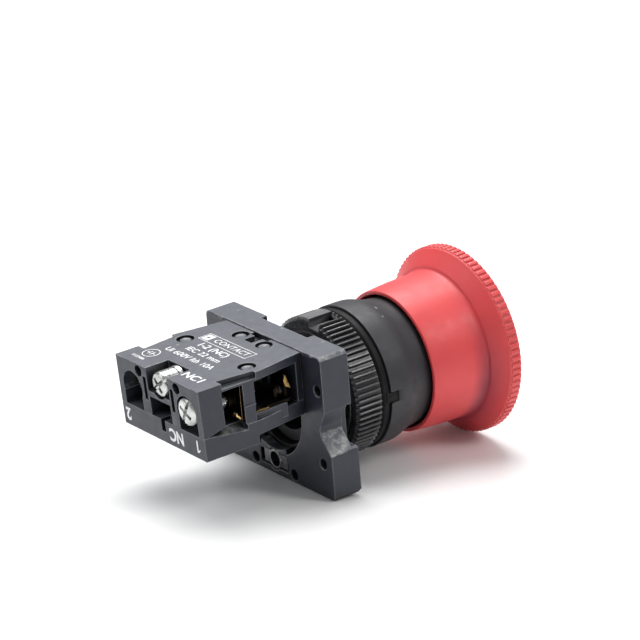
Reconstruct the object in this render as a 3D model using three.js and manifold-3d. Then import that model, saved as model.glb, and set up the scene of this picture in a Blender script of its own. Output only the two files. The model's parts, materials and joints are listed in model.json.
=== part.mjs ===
// Emergency stop button for a 22 mm panel hole, with a mushroom head that turns to release
// and one normally closed contact block. Millimetres. The button's axis is Y: the head points
// to -Y, the contact block to +Y, +Z is up. The origin is on the axis, at the bezel's rear face.
import * as THREE from 'three';
import { ConvexGeometry } from 'three/addons/geometries/ConvexGeometry.js';
import { mergeVertices } from 'three/addons/utils/BufferGeometryUtils.js';
import Module from 'manifold-3d';

const wasm = await Module();
wasm.setup();

// ---- driving dimensions ----
const HEAD_R = 20;
const RIM_FRONT = -29.6;
const RIM_BACK = -26.9;
const DOME_FRONT = -31.4;
const SKIRT_END = -10.94;
const SKIRT_BORE = 14.05;
const KNURLS = 88;
const STROKE = 3.7;

const BEZEL_R = 15.1;
const SLEEVE_R = 13.45;
const SLEEVE_FRONT = -16.2;
const BARREL_R = 11;
const BARREL_BORE = 9.2;
const BARREL_END = 16.7;
const THREAD_DEPTH = 0.5;
const THREAD_PITCH = 1.5;

const GASKET_R = 14.6;
const GASKET_END = 1.9;
const NUT_R = 15.03;
const NUT_START = 1.95;
const NUT_END = 8.29;
const NUT_BORE = 11.15;
const NUT_RIBS = 74;
const RIB_DEPTH = 0.45;

const COLLAR_FRONT = 12.7;
const COLLAR_REAR = 19.34;
const COLLAR_HALF_Z = 15.09;
const COLLAR_COUNTERBORE = 11.3;
const COLLAR_OPENING = 10.7;
const COLLAR_LOBE_R = 9.5;
const COLLAR_STEP = 17;
const PIN_X = 6.6;
const PIN_Z = 13.4;

const BLOCK_FRONT = 19.4;
const BLOCK_REAR = 44.39;
const BLOCK_HALF_X = 14.35;
const BLOCK_NOSE_HALF_X = 12.45;
const BLOCK_TAPER_Y = 31.3;
const BLOCK_BOTTOM = -0.13;
const BLOCK_TOP = 14.81;
const PARTING_Z = 4.74;
const COVER_BOTTOM = 4.76;

const TERMINAL_X = 9.4;
const TERMINAL_Z = 9.1;
const TERMINAL_R = 3.35;
const SCREW_HEAD_R = 3;
const SCREW_HEAD_H = 1.9;
const SCREW_SHANK_R = 1.7;
const SCREW_SHANK_L = 7.4;
const SCREW_OUT_FACE = 44.8;
const SCREW_IN_FACE = 41.8;
const CLAMP_T = 0.7;
const CLAMP_GAP = 0.05;

const FIXING_Z = 12;
const FIXING_HEAD_R = 2.65;
const FIXING_FACE = 44.3;
const FIXING_HEAD_END = 40.2;
const FIXING_TIP = 17;

const PLUNGER_Z = 7.4;
const PLUNGER_NOSE = 15.1;
const PUSHER_REAR = 15;
const BRIDGE_Y = 24.75;
const BRIDGE_T = 0.8;
const RIVET_X = 9.8;
const RIVET_R = 1.3;

const STRIP_Z = 5.6;
const STRIP_T = 0.7;

const STAKES = [[10.6, 30.75], [4, 22]];
const STAKE_R = 1.05;
const LATCH_Y = -12.5;
const ROUND = 40;
const SMALL = 16;

// ---- solids ----
function oriented(geometry) {
  const merged = mergeVertices(stripped(geometry), 1e-5);
  const at = merged.attributes.position;
  const index = merged.index.array;
  const a = new THREE.Vector3();
  const b = new THREE.Vector3();
  const c = new THREE.Vector3();
  let volume = 0;
  for (let i = 0; i < index.length; i += 3) {
    a.fromBufferAttribute(at, index[i]);
    b.fromBufferAttribute(at, index[i + 1]);
    c.fromBufferAttribute(at, index[i + 2]);
    volume += a.dot(b.cross(c));
  }
  if (volume < 0) {
    for (let i = 0; i < index.length; i += 3) {
      [index[i + 1], index[i + 2]] = [index[i + 2], index[i + 1]];
    }
  }
  return merged;
}

function stripped(geometry) {
  const copy = geometry.clone();
  copy.deleteAttribute('normal');
  copy.deleteAttribute('uv');
  return copy;
}

function toManifold(geometry) {
  const closed = oriented(geometry);
  return new wasm.Manifold(new wasm.Mesh({
    numProp: 3,
    vertProperties: new Float32Array(closed.attributes.position.array),
    triVerts: new Uint32Array(closed.index.array),
  }));
}

function fromManifold(manifold) {
  const mesh = manifold.getMesh();
  const geometry = new THREE.BufferGeometry();
  geometry.setAttribute('position', new THREE.BufferAttribute(mesh.vertProperties, 3));
  geometry.setIndex(new THREE.BufferAttribute(mesh.triVerts, 1));
  geometry.computeVertexNormals();
  return geometry;
}

function union(...geometries) {
  return fromManifold(geometries.map(toManifold).reduce((sum, next) => sum.add(next)));
}

function cut(geometry, ...tools) {
  const blank = toManifold(geometry);
  return fromManifold(tools.map(toManifold).reduce((rest, tool) => rest.subtract(tool), blank));
}

// A range measured outwards from the middle, on the side wanted.
function span(side, near, far) {
  return side > 0 ? [near, far] : [-far, -near];
}

function box(x0, x1, y0, y1, z0, z1) {
  const geometry = new THREE.BoxGeometry(x1 - x0, y1 - y0, z1 - z0);
  geometry.translate((x0 + x1) / 2, (y0 + y1) / 2, (z0 + z1) / 2);
  return geometry;
}

// A closed profile of [radius, y] turned about the Y axis.
function turned(profile, segments = ROUND) {
  const points = profile.map(([r, y]) => new THREE.Vector2(r, y));
  const closesOnAxis = profile[0][0] === 0 && profile[profile.length - 1][0] === 0;
  if (!closesOnAxis) points.push(points[0].clone());
  return oriented(new THREE.LatheGeometry(points, segments));
}

function rodY(radius, y0, y1, x = 0, z = 0, segments = SMALL) {
  const geometry = new THREE.CylinderGeometry(radius, radius, y1 - y0, segments);
  geometry.translate(x, (y0 + y1) / 2, z);
  return geometry;
}

function rodZ(radius, z0, z1, x, y, segments = SMALL) {
  const geometry = new THREE.CylinderGeometry(radius, radius, z1 - z0, segments);
  geometry.rotateX(Math.PI / 2);
  geometry.translate(x, y, (z0 + z1) / 2);
  return geometry;
}

function rodX(radius, x0, x1, y, z, segments = SMALL) {
  const geometry = new THREE.CylinderGeometry(radius, radius, x1 - x0, segments);
  geometry.rotateZ(Math.PI / 2);
  geometry.translate((x0 + x1) / 2, y, z);
  return geometry;
}

function shapeOf(outline, holes = []) {
  const shape = new THREE.Shape(outline.map(([a, b]) => new THREE.Vector2(a, b)));
  for (const hole of holes) {
    shape.holes.push(new THREE.Path(hole.map(([a, b]) => new THREE.Vector2(a, b))));
  }
  return shape;
}

// An outline of [x, z] carried from y0 to y1.
function plateY(outline, y0, y1, holes = []) {
  const options = { depth: y1 - y0, bevelEnabled: false };
  const geometry = new THREE.ExtrudeGeometry(shapeOf(outline, holes), options);
  geometry.rotateX(Math.PI / 2);
  geometry.scale(1, -1, 1);
  geometry.translate(0, y0, 0);
  return oriented(geometry);
}

// An outline of [x, y] carried from z0 to z1.
function plateZ(outline, z0, z1) {
  const options = { depth: z1 - z0, bevelEnabled: false };
  const geometry = new THREE.ExtrudeGeometry(shapeOf(outline), options);
  geometry.translate(0, 0, z0);
  return oriented(geometry);
}

function wedge(points) {
  return oriented(new ConvexGeometry(points.map(([x, y, z]) => new THREE.Vector3(x, y, z))));
}

function ring(radius, count, phase = 0) {
  const points = [];
  for (let i = 0; i < count; i += 1) {
    const angle = phase + (2 * Math.PI * i) / count;
    points.push([radius * Math.cos(angle), radius * Math.sin(angle)]);
  }
  return points;
}

class Helix extends THREE.Curve {
  constructor(radius, length, turns) {
    super();
    this.radius = radius;
    this.length = length;
    this.turns = turns;
  }

  getPoint(t, target = new THREE.Vector3()) {
    const angle = 2 * Math.PI * this.turns * t;
    return target.set(this.radius * Math.cos(angle), this.length * t, this.radius * Math.sin(angle));
  }
}

// A round-wire coil about Y, its overall length counted over the wire.
function coil(radius, wire, length, turns, steps = 8) {
  const section = shapeOf(ring(wire / 2, 5));
  const path = new Helix(radius, length - wire, turns);
  const options = { steps: turns * steps, extrudePath: path, bevelEnabled: false };
  const geometry = new THREE.ExtrudeGeometry(section, options);
  geometry.translate(0, wire / 2, 0);
  return oriented(geometry);
}

// ---- materials ----
const material = (color, roughness, metalness) => {
  return () => new THREE.MeshStandardMaterial({ color, roughness, metalness });
};
const redPlastic = material(0xd62a26, 0.45, 0);
const blackPlastic = material(0x26282c, 0.5, 0);
const greyPlastic = material(0x34363b, 0.6, 0);
const whitePlastic = material(0xe6e4dc, 0.5, 0);
const rubber = material(0x111113, 0.35, 0);
const nickel = material(0xcfd0cc, 0.25, 1);
const brass = material(0xc9a25a, 0.3, 1);
const silver = material(0xe2e2de, 0.25, 1);
const springSteel = material(0x9fa3a8, 0.3, 1);

function part(name, geometry, paint, position = [0, 0, 0]) {
  const mesh = new THREE.Mesh(geometry, paint());
  mesh.name = name;
  mesh.position.set(...position);
  return mesh;
}

// ---- operating head ----
function mushroomCap() {
  const shell = turned([
    [0, DOME_FRONT],
    [8, DOME_FRONT + 0.15],
    [14, DOME_FRONT + 0.6],
    [17.6, DOME_FRONT + 1.1],
    [19.2, RIM_FRONT],
    [19.4, RIM_FRONT + 0.3],
    [19.4, RIM_BACK - 0.3],
    [19, RIM_BACK],
    [16.65, -24.2],
    [16.3, -23.85],
    [15.9, -23.5],
    [15.65, -22.4],
    [15.45, -17.5],
    [15.2, -14],
    [15, SKIRT_END],
    [14.35, SKIRT_END],
    [SKIRT_BORE, -11.6],
    [SKIRT_BORE, -25.2],
    [13, -26.6],
    [5.2, -26.6],
    [5.2, -18],
    [3.1, -18],
    [3.1, -26.2],
    [0, -26.2],
  ]);
  const teeth = [];
  for (let i = 0; i < KNURLS; i += 1) {
    const pitch = (2 * Math.PI) / KNURLS;
    teeth.push([HEAD_R * Math.cos(i * pitch), HEAD_R * Math.sin(i * pitch)]);
    teeth.push([19.5 * Math.cos((i + 0.5) * pitch), 19.5 * Math.sin((i + 0.5) * pitch)]);
  }
  const knurl = plateY(teeth, RIM_FRONT + 0.25, RIM_BACK - 0.25, [ring(18.4, ROUND).reverse()]);
  return union(shell, knurl);
}

function stem() {
  return turned([
    [0, -26],
    [3, -26],
    [3, -17.8],
    [6.2, -17.8],
    [7.45, -9.5],
    [7.2, -9.1],
    [4, -9.1],
    [4, 5.9],
    [0, 5.9],
  ]);
}

function pusher() {
  return turned([
    [0, 6.3],
    [4.1, 6.3],
    [4.1, -0.7],
    [8.9, -0.7],
    [8.9, PUSHER_REAR],
    [6.6, PUSHER_REAR],
    [6.6, 8.2],
    [0, 8.2],
  ]);
}

function latchCage() {
  const body = turned([
    [11.95, -15.4],
    [11.95, -9.6],
    [8, -9.6],
    [8, -15.4],
  ]);
  return cut(body, rodX(1.6, -13, 13, LATCH_Y, 0));
}

function latchPin(side) {
  const profile = [
    [0, 7.2],
    [0.6, 7.2],
    [1.5, 8.3],
    [1.5, 9.6],
    [0, 9.6],
  ];
  const geometry = turned(profile, SMALL);
  geometry.rotateZ(side > 0 ? -Math.PI / 2 : Math.PI / 2);
  return geometry;
}

function latchPinSpring(side) {
  const geometry = coil(1, 0.35, 2.3, 4);
  geometry.translate(0, 9.7, 0);
  geometry.rotateZ(side > 0 ? -Math.PI / 2 : Math.PI / 2);
  return geometry;
}

function bezelBody() {
  const grooves = [];
  for (let y = NUT_END + 0.4; y < COLLAR_FRONT; y += THREAD_PITCH) {
    grooves.push([BARREL_R, y], [BARREL_R - THREAD_DEPTH, y + THREAD_PITCH / 2]);
  }
  const body = turned([
    [12.1, SLEEVE_FRONT],
    [SLEEVE_R, SLEEVE_FRONT],
    [SLEEVE_R, -8.4],
    [13.9, -7.4],
    [14.5, -6.3],
    [14.95, -5.1],
    [BEZEL_R, -4],
    [BEZEL_R, -0.5],
    [14.65, 0],
    [BARREL_R, 0],
    ...grooves,
    [BARREL_R, 13.3],
    [BARREL_R, BARREL_END],
    [BARREL_BORE, BARREL_END],
    [BARREL_BORE, -1],
    [7.7, -1],
    [7.7, -3],
    [11.4, -3],
    [11.4, -9.5],
    [12.1, -9.5],
  ]);
  const tabNotch = box(-16, -13.4, -1.95, 0.5, -1.5, 0.95);
  const keyway = box(-1.3, 1.3, 9, BARREL_END + 1, 10.1, 12);
  return cut(body, tabNotch, keyway);
}

function gasket() {
  const body = turned([
    [11.3, 0.02],
    [GASKET_R, 0.02],
    [GASKET_R, GASKET_END],
    [11.3, GASKET_END],
  ]);
  return union(body, box(-14.9, -13.6, -1.8, 1.2, -1.3, 0.8));
}

function ringNut() {
  const pitch = (2 * Math.PI) / NUT_RIBS;
  const points = [];
  for (let i = 0; i < NUT_RIBS; i += 1) {
    const angle = i * pitch;
    const half = (angle * 180 / Math.PI) % 180;
    const lug = half > 73 && half < 91;
    const root = lug ? NUT_R : NUT_R - RIB_DEPTH;
    for (const [part, radius] of [[0, root], [0.22, NUT_R], [0.58, NUT_R], [0.8, root]]) {
      const at = angle + part * pitch;
      points.push([radius * Math.cos(at), radius * Math.sin(at)]);
    }
  }
  const body = plateY(points, NUT_START, NUT_END, [ring(NUT_BORE, ROUND).reverse()]);
  const notches = [0, Math.PI].map((turn) => {
    const notch = box(-3.3, -0.1, 3, 9, 13.4, 16);
    notch.rotateY(turn);
    return notch;
  });
  return cut(body, ...notches);
}

// ---- collar ----
function collarHalf() {
  return [
    [-18.1, COLLAR_HALF_Z],
    [-18.9, 14.4],
    [-18.9, 3.5],
    [-18.4, 2.5],
    [-17.3, 0.7],
    [-16.85, -0.6],
    [-17.1, -1.9],
    [-20.2, -5.5],
    [-20.2, -14.1],
    [-19.9, -14.8],
    [-19.2, -COLLAR_HALF_Z],
  ];
}

function collar() {
  const half = collarHalf();
  const outline = [...half, ...half.map(([x, z]) => [-x, -z])];
  const body = plateY(outline, COLLAR_FRONT, COLLAR_REAR);
  const opening = turned([
    [0, COLLAR_FRONT - 1],
    [COLLAR_COUNTERBORE, COLLAR_FRONT - 1],
    [COLLAR_COUNTERBORE, COLLAR_STEP],
    [COLLAR_OPENING, COLLAR_STEP],
    [COLLAR_OPENING, COLLAR_REAR + 1],
    [0, COLLAR_REAR + 1],
  ]);
  const tools = [opening];
  for (const side of [1, -1]) {
    tools.push(box(-7.8, 7.8, COLLAR_FRONT - 1, 14.2, ...span(side, 11.6, 16)));
    tools.push(box(...span(side, 16.6, 21), COLLAR_FRONT - 1, 13.9, ...span(side, -3.6, 5)));
    for (const x of [-PIN_X, PIN_X]) {
      tools.push(rodY(1.2, COLLAR_STEP - 2, COLLAR_REAR + 1, x, PIN_Z * side));
    }
    for (const x of [-17.1, 17.1]) {
      tools.push(rodY(1.15, COLLAR_STEP - 1, COLLAR_REAR + 1, x, -7.8 * side));
    }
  }
  tools.push(footChamfer());
  const bored = cut(body, ...tools);
  const lobes = [1, -1].map((side) => collarLobe(side));
  const key = box(-1.1, 1.1, COLLAR_FRONT, COLLAR_STEP, 10.4, 12.4);
  const solid = union(bored, ...lobes, key);
  return cut(solid, insertPocket(1), insertPocket(-1));
}

// What is cut off the foot's lower front edge.
function footChamfer() {
  const corner = [
    [-0.5, -16],
    [-0.5, -13.7],
    [0, -14.2],
    [0.35, -14.75],
    [0.9, -15.1],
    [2, -16],
  ];
  const ends = [-21, -10].map((x) => corner.map(([y, z]) => [x, COLLAR_FRONT + y, z]));
  return wedge(ends.flat());
}

// The opening narrows to a smaller radius beside each screw insert.
function collarLobe(side) {
  const arc = [];
  for (let i = 0; i <= 8; i += 1) {
    const angle = (side * Math.PI) / 2 + ((i - 4) * Math.PI * 26) / (4 * 180);
    arc.push([COLLAR_LOBE_R * Math.cos(angle), COLLAR_LOBE_R * Math.sin(angle)]);
  }
  const outer = side > 0 ? [[-4.6, 11.5], [4.6, 11.5]] : [[4.6, -11.5], [-4.6, -11.5]];
  return plateY([...arc, ...outer], COLLAR_STEP, COLLAR_REAR);
}

function insertPocket(side) {
  const z = FIXING_Z * side;
  return union(
    box(-4.7, 4.7, 18.1, COLLAR_REAR + 1, z - 1.7, z + 1.55),
    box(-2.7, 2.7, COLLAR_STEP + 0.3, COLLAR_REAR + 1, z - 1.7, z + 1.55),
    rodY(2.3, COLLAR_STEP + 0.3, COLLAR_REAR + 1, 0, z, SMALL),
  );
}

function collarInsert(side) {
  const z = FIXING_Z * side;
  const body = union(
    box(-3.9, 3.9, 18.15, 18.95, z - 1.45, z + 1.4),
    rodY(2.1, COLLAR_STEP + 0.45, 19.2, 0, z, SMALL),
  );
  return cut(body, rodY(1.62, COLLAR_STEP, 20, 0, z, SMALL));
}

// ---- contact block ----
function blockOutline(inset = 0) {
  const wide = BLOCK_HALF_X - inset;
  const narrow = BLOCK_NOSE_HALF_X - inset;
  return [
    [-wide, BLOCK_REAR - inset],
    [-wide, BLOCK_TAPER_Y],
    [-narrow, BLOCK_FRONT + inset],
    [narrow, BLOCK_FRONT + inset],
    [wide, BLOCK_TAPER_Y],
    [wide, BLOCK_REAR - inset],
  ];
}

function blockBase() {
  const body = plateZ(blockOutline(), BLOCK_BOTTOM, PARTING_Z);
  const tools = [
    box(-16, 16, 18, 31.8, -1, 1.7),
    box(-11.9, 11.9, 20.9, 33.9, 2.9, 6),
    box(-0.7, 0.7, 42, 46, 2.2, 6),
    box(-6.2, 6.2, 34.9, 39.4, 1.3, 6),
  ];
  for (const side of [1, -1]) {
    tools.push(wedge([
      [14.6 * side, 44, 4.76],
      [14.6 * side, 34.2, 3.5],
      [14.6 * side, 34.2, 6],
      [14.6 * side, 44, 6],
      [11.8 * side, 38.5, 4.7],
      [11.8 * side, 34.2, 4.7],
      [11.8 * side, 34.2, 6],
    ]));
  }
  const solids = [cut(body, ...tools)];
  for (const side of [1, -1]) {
    for (const [x, y] of STAKES) solids.push(rodZ(STAKE_R, 2.5, 14.3, x * side, y));
    solids.push(box(...span(side, 12.75, 13.4), 24, 31.8, 3, 5.85));
  }
  return union(...solids);
}

function blockCover() {
  const body = plateZ(blockOutline(), COVER_BOTTOM, BLOCK_TOP);
  const tools = [
    box(-16, 16, 20.9, 31.95, 4, 13),
    box(-3.2, 3.2, 31, 36.4, 4, 9.95),
    rodY(2.2, 36, 38.7, 0, PLUNGER_Z),
    rodY(1.75, 18, 22, 0, PLUNGER_Z),
    box(-3.75, 3.75, 38.9, 46, 9.9, 16),
    rodY(2.85, 38.9, 46, 0, FIXING_Z, 24),
    rodY(1.95, 18, 40, 0, FIXING_Z),
    box(-3.6, 3.6, 40.2, 46, 4, 8.75),
    box(-1.3, 1.3, 18, 23.1, 13.4, 16),
    box(-2.9, 2.9, 18, 20.4, 13.8, 16),
  ];
  for (const side of [1, -1]) {
    tools.push(...coverSideTools(side));
  }
  const pins = [1, -1].map((side) => rodY(1.05, 17.2, 19.8, PIN_X * side, PIN_Z));
  return union(cut(body, ...tools), ...pins);
}

function coverSideTools(side) {
  const [x0, x1] = span(side, TERMINAL_X - TERMINAL_R + 0.3, TERMINAL_X + TERMINAL_R - 0.1);
  const tools = [
    rodY(TERMINAL_R, 35, 46, TERMINAL_X * side, TERMINAL_Z, 28),
    box(x0, x1, 35, 46, 4, TERMINAL_Z - 1.5),
    box(...span(side, TERMINAL_X, 16), 34.5, 39.1, 4, 13.1),
    box(...span(side, 6.2, 14), 33.9, 35.2, 4, 13.1),
    rodY(2.3, 31, 36, TERMINAL_X * side, TERMINAL_Z),
    box(...span(side, 11.8, 13.6), 31, 35, 4, 6.6),
    rodY(1.2, 40.5, 46, PIN_X * side, 13.3),
    box(...span(side, 4.2, 5.25), 42, 46, 7.7, 12.6),
    wedge([
      [12.4 * side, 38.9, 13.55],
      [13.3 * side, 31.4, 13.55],
      [16 * side, 31.4, 13.55],
      [16 * side, 38.9, 13.55],
      [12.4 * side, 38.9, 16],
      [13.3 * side, 31.4, 16],
      [16 * side, 31.4, 16],
      [16 * side, 38.9, 16],
    ]),
    wedge([
      [14.6 * side, 44, 4.7],
      [14.6 * side, 39, 6],
      [14.6 * side, 39, 4.7],
      [12.4 * side, 39, 4.7],
    ]),
  ];
  for (const [x, y] of STAKES) {
    tools.push(rodZ(STAKE_R + 0.2, 4, 16, x * side, y));
    tools.push(rodZ(1.8, 13.9, 16, x * side, y, 20));
  }
  return tools;
}

function terminalPlate(side) {
  const plate = union(
    box(...span(side, 6.5, 13.5), 34.3, 34.9, STRIP_Z, 12.9),
    rodY(2.4, 34.3, 36.4, TERMINAL_X * side, TERMINAL_Z),
    box(...span(side, 11.9, 12.55), 22.6, 34.5, STRIP_Z, STRIP_Z + STRIP_T),
    box(...span(side, 12.3, 13.5), 28.4, 31.9, STRIP_Z + 0.35, STRIP_Z + STRIP_T),
    box(...span(side, 8.3, 12.55), 22.6, 23.4, STRIP_Z, STRIP_Z + STRIP_T),
    box(...span(side, 8.3, 11.6), 22.6, 23.4, STRIP_Z, 10.4),
  );
  return cut(plate, rodY(SCREW_SHANK_R + 0.08, 33, 38, TERMINAL_X * side, TERMINAL_Z));
}

// Pan head with a cross recess; the head's face is at y = 0 and the shank points to -Y.
function terminalScrew() {
  const body = turned([
    [0, 0],
    [1.9, -0.05],
    [2.7, -0.35],
    [SCREW_HEAD_R, -0.9],
    [SCREW_HEAD_R, -SCREW_HEAD_H],
    [SCREW_SHANK_R, -SCREW_HEAD_H],
    [SCREW_SHANK_R, -SCREW_HEAD_H - SCREW_SHANK_L + 0.4],
    [1.3, -SCREW_HEAD_H - SCREW_SHANK_L],
    [0, -SCREW_HEAD_H - SCREW_SHANK_L],
  ], 24);
  const slotA = box(-2.1, 2.1, -1, 1, -0.4, 0.4);
  const slotB = box(-0.4, 0.4, -1, 1, -2.1, 2.1);
  return cut(body, slotA, slotB);
}

function clampWasher() {
  const body = rodY(3.05, 0, CLAMP_T, 0, 0, 24);
  return cut(body, rodY(SCREW_SHANK_R + 0.2, -1, 2));
}

function contactPlunger() {
  const body = union(
    rodY(1.6, PLUNGER_NOSE, 21.6, 0, PLUNGER_Z),
    box(-2.5, 2.5, 21.2, 32.3, 5.05, 9.7),
  );
  return cut(body, box(-4, 4, 23, 31, 5.95, 8.85), rodY(1.5, 31.6, 34, 0, PLUNGER_Z));
}

function contactBridge() {
  return box(-11.2, 11.2, BRIDGE_Y, BRIDGE_Y + BRIDGE_T, 6.3, 8.5);
}

function fixingScrew() {
  const body = turned([
    [0, FIXING_FACE],
    [2.1, FIXING_FACE],
    [FIXING_HEAD_R, FIXING_FACE - 0.5],
    [FIXING_HEAD_R, FIXING_HEAD_END],
    [1.6, FIXING_HEAD_END],
    [1.55, FIXING_TIP + 0.8],
    [1.2, FIXING_TIP + 0.3],
    [0, FIXING_TIP + 0.3],
  ], 24);
  const slotA = box(-1.9, 1.9, FIXING_FACE - 1.1, FIXING_FACE + 1, -0.4, 0.4);
  const slotB = box(-0.4, 0.4, FIXING_FACE - 1.1, FIXING_FACE + 1, -1.9, 1.9);
  return cut(body, slotA, slotB);
}

function fixingWasher() {
  return cut(rodY(2.75, 39.1, 40.1, 0, 0, 24), rodY(1.8, 38, 41));
}

// ---- assembly ----
function operator() {
  const group = new THREE.Group();
  group.name = 'operator';
  group.add(part('mushroom_cap', mushroomCap(), redPlastic));
  group.add(part('stem', stem(), whitePlastic));
  group.add(part('pusher', pusher(), blackPlastic));
  group.add(part('return_spring', coil(9.3, 1, 11, 5, 12), springSteel, [0, -26.5, 0]));
  group.add(part('latch_cage', latchCage(), whitePlastic));
  for (const [number, side] of [[1, -1], [2, 1]]) {
    group.add(part(`latch_pin_${number}`, latchPin(side), nickel, [0, LATCH_Y, 0]));
    group.add(part(`latch_pin_spring_${number}`, latchPinSpring(side), springSteel, [0, LATCH_Y, 0]));
  }
  group.add(part('bezel_body', bezelBody(), blackPlastic));
  group.add(part('gasket', gasket(), rubber));
  group.add(part('ring_nut', ringNut(), blackPlastic));
  return group;
}

function mountingCollar() {
  const group = new THREE.Group();
  group.name = 'mounting_collar';
  group.add(part('collar', collar(), greyPlastic));
  group.add(part('collar_insert_1', collarInsert(1), nickel));
  group.add(part('collar_insert_2', collarInsert(-1), nickel));
  return group;
}

function contactBlock() {
  const group = new THREE.Group();
  group.name = 'contact_block';
  group.add(part('block_base', blockBase(), greyPlastic));
  group.add(part('block_cover', blockCover(), greyPlastic));
  const faces = [SCREW_OUT_FACE, SCREW_IN_FACE];
  for (const [number, side] of [[1, -1], [2, 1]]) {
    const face = faces[number - 1];
    const clampY = face - SCREW_HEAD_H - CLAMP_GAP - CLAMP_T;
    group.add(part(`terminal_plate_${number}`, terminalPlate(side), brass));
    const terminal = [TERMINAL_X * side, face, TERMINAL_Z];
    group.add(part(`terminal_screw_${number}`, terminalScrew(), nickel, terminal));
    const clamp = [TERMINAL_X * side, clampY, TERMINAL_Z];
    group.add(part(`clamp_washer_${number}`, clampWasher(), nickel, clamp));
    const rivet = rodY(RIVET_R, 23.42, 24.05, 0, 0, SMALL);
    group.add(part(`fixed_contact_${number}`, rivet, silver, [RIVET_X * side, 0, PLUNGER_Z]));
    const button = rodY(RIVET_R - 0.2, 24.1, BRIDGE_Y - 0.02, 0, 0, SMALL);
    group.add(part(`bridge_contact_${number}`, button, silver, [RIVET_X * side, 0, PLUNGER_Z]));
  }
  group.add(part('contact_bridge', contactBridge(), brass));
  group.add(part('contact_plunger', contactPlunger(), whitePlastic));
  group.add(part('bridge_spring', coil(1, 0.3, 5.2, 6), springSteel, [0, 25.65, PLUNGER_Z]));
  group.add(part('plunger_spring', coil(1.15, 0.35, 6.8, 6), springSteel, [0, 31.75, PLUNGER_Z]));
  group.add(part('block_screw', fixingScrew(), nickel, [0, 0, FIXING_Z]));
  group.add(part('block_screw_washer', fixingWasher(), nickel, [0, 0, FIXING_Z]));
  return group;
}

const button = new THREE.Group();
button.name = 'emergency_stop_button';
button.add(operator(), mountingCollar(), contactBlock());

export default button;
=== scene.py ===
import json
import math

import bmesh
import bpy
from mathutils import Matrix, Vector


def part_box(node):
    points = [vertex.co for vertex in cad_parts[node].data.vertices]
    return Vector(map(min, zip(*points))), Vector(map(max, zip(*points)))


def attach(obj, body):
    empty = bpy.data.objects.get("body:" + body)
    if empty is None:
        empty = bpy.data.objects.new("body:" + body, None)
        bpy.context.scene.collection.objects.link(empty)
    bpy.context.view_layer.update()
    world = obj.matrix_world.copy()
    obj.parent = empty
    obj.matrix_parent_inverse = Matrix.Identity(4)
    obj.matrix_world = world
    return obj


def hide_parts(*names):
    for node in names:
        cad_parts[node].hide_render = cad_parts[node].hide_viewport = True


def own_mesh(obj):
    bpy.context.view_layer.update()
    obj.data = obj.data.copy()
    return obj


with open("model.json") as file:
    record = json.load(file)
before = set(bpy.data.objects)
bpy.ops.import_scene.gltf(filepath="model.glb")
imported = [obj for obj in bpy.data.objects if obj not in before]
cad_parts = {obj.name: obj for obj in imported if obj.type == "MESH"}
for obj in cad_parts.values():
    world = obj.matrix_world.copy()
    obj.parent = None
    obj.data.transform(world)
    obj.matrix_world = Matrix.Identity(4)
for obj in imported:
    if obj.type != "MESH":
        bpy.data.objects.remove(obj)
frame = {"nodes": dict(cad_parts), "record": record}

MM = 0.001
SCENE = bpy.context.scene
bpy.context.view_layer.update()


# ---------------------------------------------------------------- camera
# Where the photograph was taken from: a long lens, about 0.7 m away, above and behind the contact block.
CAMERA_ROTATION = Vector((0.9430, -2.0010, 1.3050))
CAMERA_SHIFT = Vector((5.402, 11.502, 696.147)) * MM
CAMERA_LENS = 193.25
CAMERA_SENSOR = 36


def make_camera():
    """The camera, from its rotation vector and its shift in its own right, down and ahead directions."""
    turn = Matrix.Rotation(CAMERA_ROTATION.length, 3, CAMERA_ROTATION.normalized())
    place = -(turn.transposed() @ CAMERA_SHIFT)
    right, down, ahead = turn[0], turn[1], turn[2]
    data = bpy.data.cameras.new("camera")
    data.lens = CAMERA_LENS
    data.sensor_width = CAMERA_SENSOR
    data.clip_start = 0.01
    data.clip_end = 20
    camera = bpy.data.objects.new("camera", data)
    camera.matrix_world = Matrix((
        (right[0], -down[0], -ahead[0], place[0]),
        (right[1], -down[1], -ahead[1], place[1]),
        (right[2], -down[2], -ahead[2], place[2]),
        (0, 0, 0, 1),
    ))
    SCENE.collection.objects.link(camera)
    SCENE.camera = camera
    return camera


# ---------------------------------------------------------------- materials
# Noise scales, in waves per metre: a plastic's clouds of colour, rubbed patches, grain, patches of dust with
# painted top light, and lighter rubbed patches with painted highlight.
CLOUD_SCALE, RUB_SCALE, GRAIN_SCALE, DUST_AND_LIGHT_SCALE, SCUFF_AND_HIGHLIGHT_SCALE = 90, 420, 5200, 700, 520
# The same for a metal's clouds and grain, and for the print's wear and grain.
METAL_CLOUD_SCALE, METAL_GRAIN_SCALE = 260, 2600
PRINT_WEAR_SCALE, PRINT_GRAIN_SCALE = 1500, 3000
SPECK_SCALE, SPECK_SIZE, SPECK_COLOUR = 330, 0.16, (0.42, 0.42, 0.44)
# Only the cells of the speck pattern above this have a speck.
SPECK_THRESHOLD = 0.86
# How far a finish's roughness goes below and above its own value.
SMOOTHER, PLASTIC_ROUGHER, METAL_ROUGHER = 0.07, 0.08, 0.12
# In metres: how wide the lighter edges are (edge wear with painted edge highlight on plastic, painted glints
# on metal), how deep a metal's grain is and how far light goes into a plastic.
EDGE_RADIUS, METAL_EDGE_RADIUS = 0.00022, 0.00012
METAL_GRAIN_DEPTH = 0.000012
SCATTER_DEPTH, SCATTER_COLOURS = 0.0012, (1.0, 0.18, 0.14)


def material(name):
    """A new material with its node tree, its shader and the position on the object."""
    made = bpy.data.materials.new(name)
    made.use_nodes = True
    nodes = made.node_tree.nodes
    shader = nodes["Principled BSDF"]
    where = nodes.new("ShaderNodeTexCoord")
    return made, made.node_tree, shader, where.outputs["Object"]


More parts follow.
